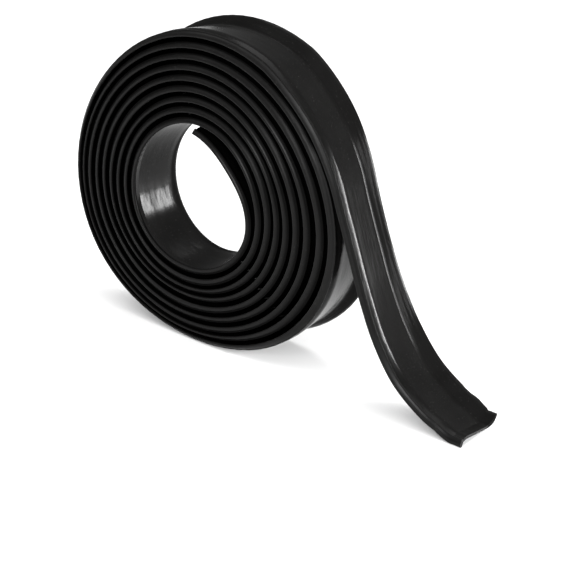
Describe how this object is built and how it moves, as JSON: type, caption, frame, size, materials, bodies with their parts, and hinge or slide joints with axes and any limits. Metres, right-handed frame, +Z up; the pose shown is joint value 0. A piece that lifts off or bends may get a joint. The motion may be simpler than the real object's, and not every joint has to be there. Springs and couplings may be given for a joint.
{
  "type": "flexible cable cover",
  "caption": "Roll of open flexible cable cover strip with its loose end run out on the floor; the strip closes round a cable along its length.",
  "frame": {"origin": "centre of the bottom of the bounding box, on the floor", "axes": "+X from the roll towards the end of its tail, +Y along the roll's axis from the front face to the back face, +Z up"},
  "size_m": [0.4092, 0.0602, 0.2654],
  "materials": {
    "cover_strip": "satin black soft plastic"
  },
  "bodies": {
    "root": {"cover_strip": "cover_strip"}
  },
  "joints": []
}
